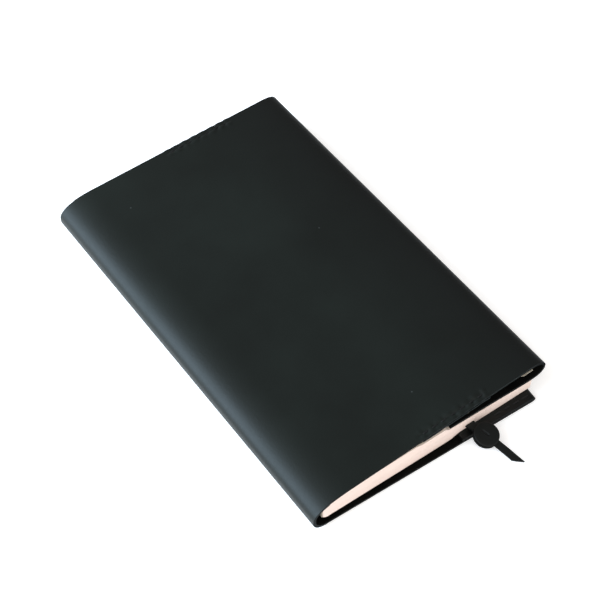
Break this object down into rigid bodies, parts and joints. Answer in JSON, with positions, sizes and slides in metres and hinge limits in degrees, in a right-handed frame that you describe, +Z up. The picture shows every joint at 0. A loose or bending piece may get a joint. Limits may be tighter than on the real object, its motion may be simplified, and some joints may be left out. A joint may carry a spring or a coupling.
{
  "type": "leather notebook cover",
  "caption": "Slim notebook in a plain black leather cover: folded flaps hold the card covers, a sewn band crosses the front inside, and a strap bookmark with a sliding stopper leaves the tail.",
  "frame": {"origin": "On the surface it rests on, under the middle of the front half.", "axes": "+X from the spine to the fore-edge, +Y from the tail to the head, +Z up, out of the front."},
  "size_m": [0.118, 0.2078, 0.016],
  "materials": {
    "leather": "fine grained black leather, semi-matte",
    "thread": "waxed black thread",
    "card": null,
    "paper": null
  },
  "bodies": {
    "back": {"back_panel": "leather", "back_fold": "leather", "back_flap": "leather", "back_flap_stitches_tail": "thread", "back_flap_stitches_head": "thread", "spine_wrap": "leather", "notebook_back_cover": "card", "notebook_spine": "card", "lower_leaves": "paper", "bookmark_strap": "leather", "bookmark_anchor_stitch": "thread"},
    "front": {"front_panel": "leather", "front_fold": "leather", "front_flap": "leather", "retaining_band": "leather", "band_stitches_tail": "thread", "band_stitches_head": "thread", "notebook_front_cover": "card", "upper_leaves": "paper"},
    "leaf_1": {"leaf_1": "paper"},
    "leaf_2": {"leaf_2": "paper"},
    "bookmark": {"bookmark_tail": "leather"},
    "stopper": {"stopper_disc_lower": "leather", "stopper_disc_upper": "leather"}
  },
  "joints": [
    {"name": "cover_hinge", "type": "hinge", "parent": "back", "child": "front", "pos_m": [-0.0532, 0, 0.008], "axis": [0, -1, 0], "range_deg": [0, 180], "deforming": ["spine_wrap", "notebook_spine"]},
    {"name": "leaf_1_turn", "type": "hinge", "parent": "back", "child": "leaf_1", "pos_m": [-0.0532, 0, 0.008], "axis": [0, -1, 0], "range_deg": [0, 10.8]},
    {"name": "leaf_2_turn", "type": "hinge", "parent": "back", "child": "leaf_2", "pos_m": [-0.0532, 0, 0.008], "axis": [0, -1, 0], "range_deg": [0, 169.2]},
    {"name": "bookmark_lift", "type": "hinge", "parent": "back", "child": "bookmark", "pos_m": [0.0189, -0.0936, 0.00545], "axis": [-0.9681, -0.2504, 0], "range_deg": [0, 40]},
    {"name": "stopper_slide", "type": "slide", "parent": "bookmark", "child": "stopper", "axis": [0.2456, -0.9497, -0.1942], "range_m": [0, 0.008]}
  ],
  "couplings": [
    {"joint": "leaf_1_turn", "follows": "cover_hinge", "ratio": 0.06},
    {"joint": "leaf_2_turn", "follows": "cover_hinge", "ratio": 0.94}
  ]
}
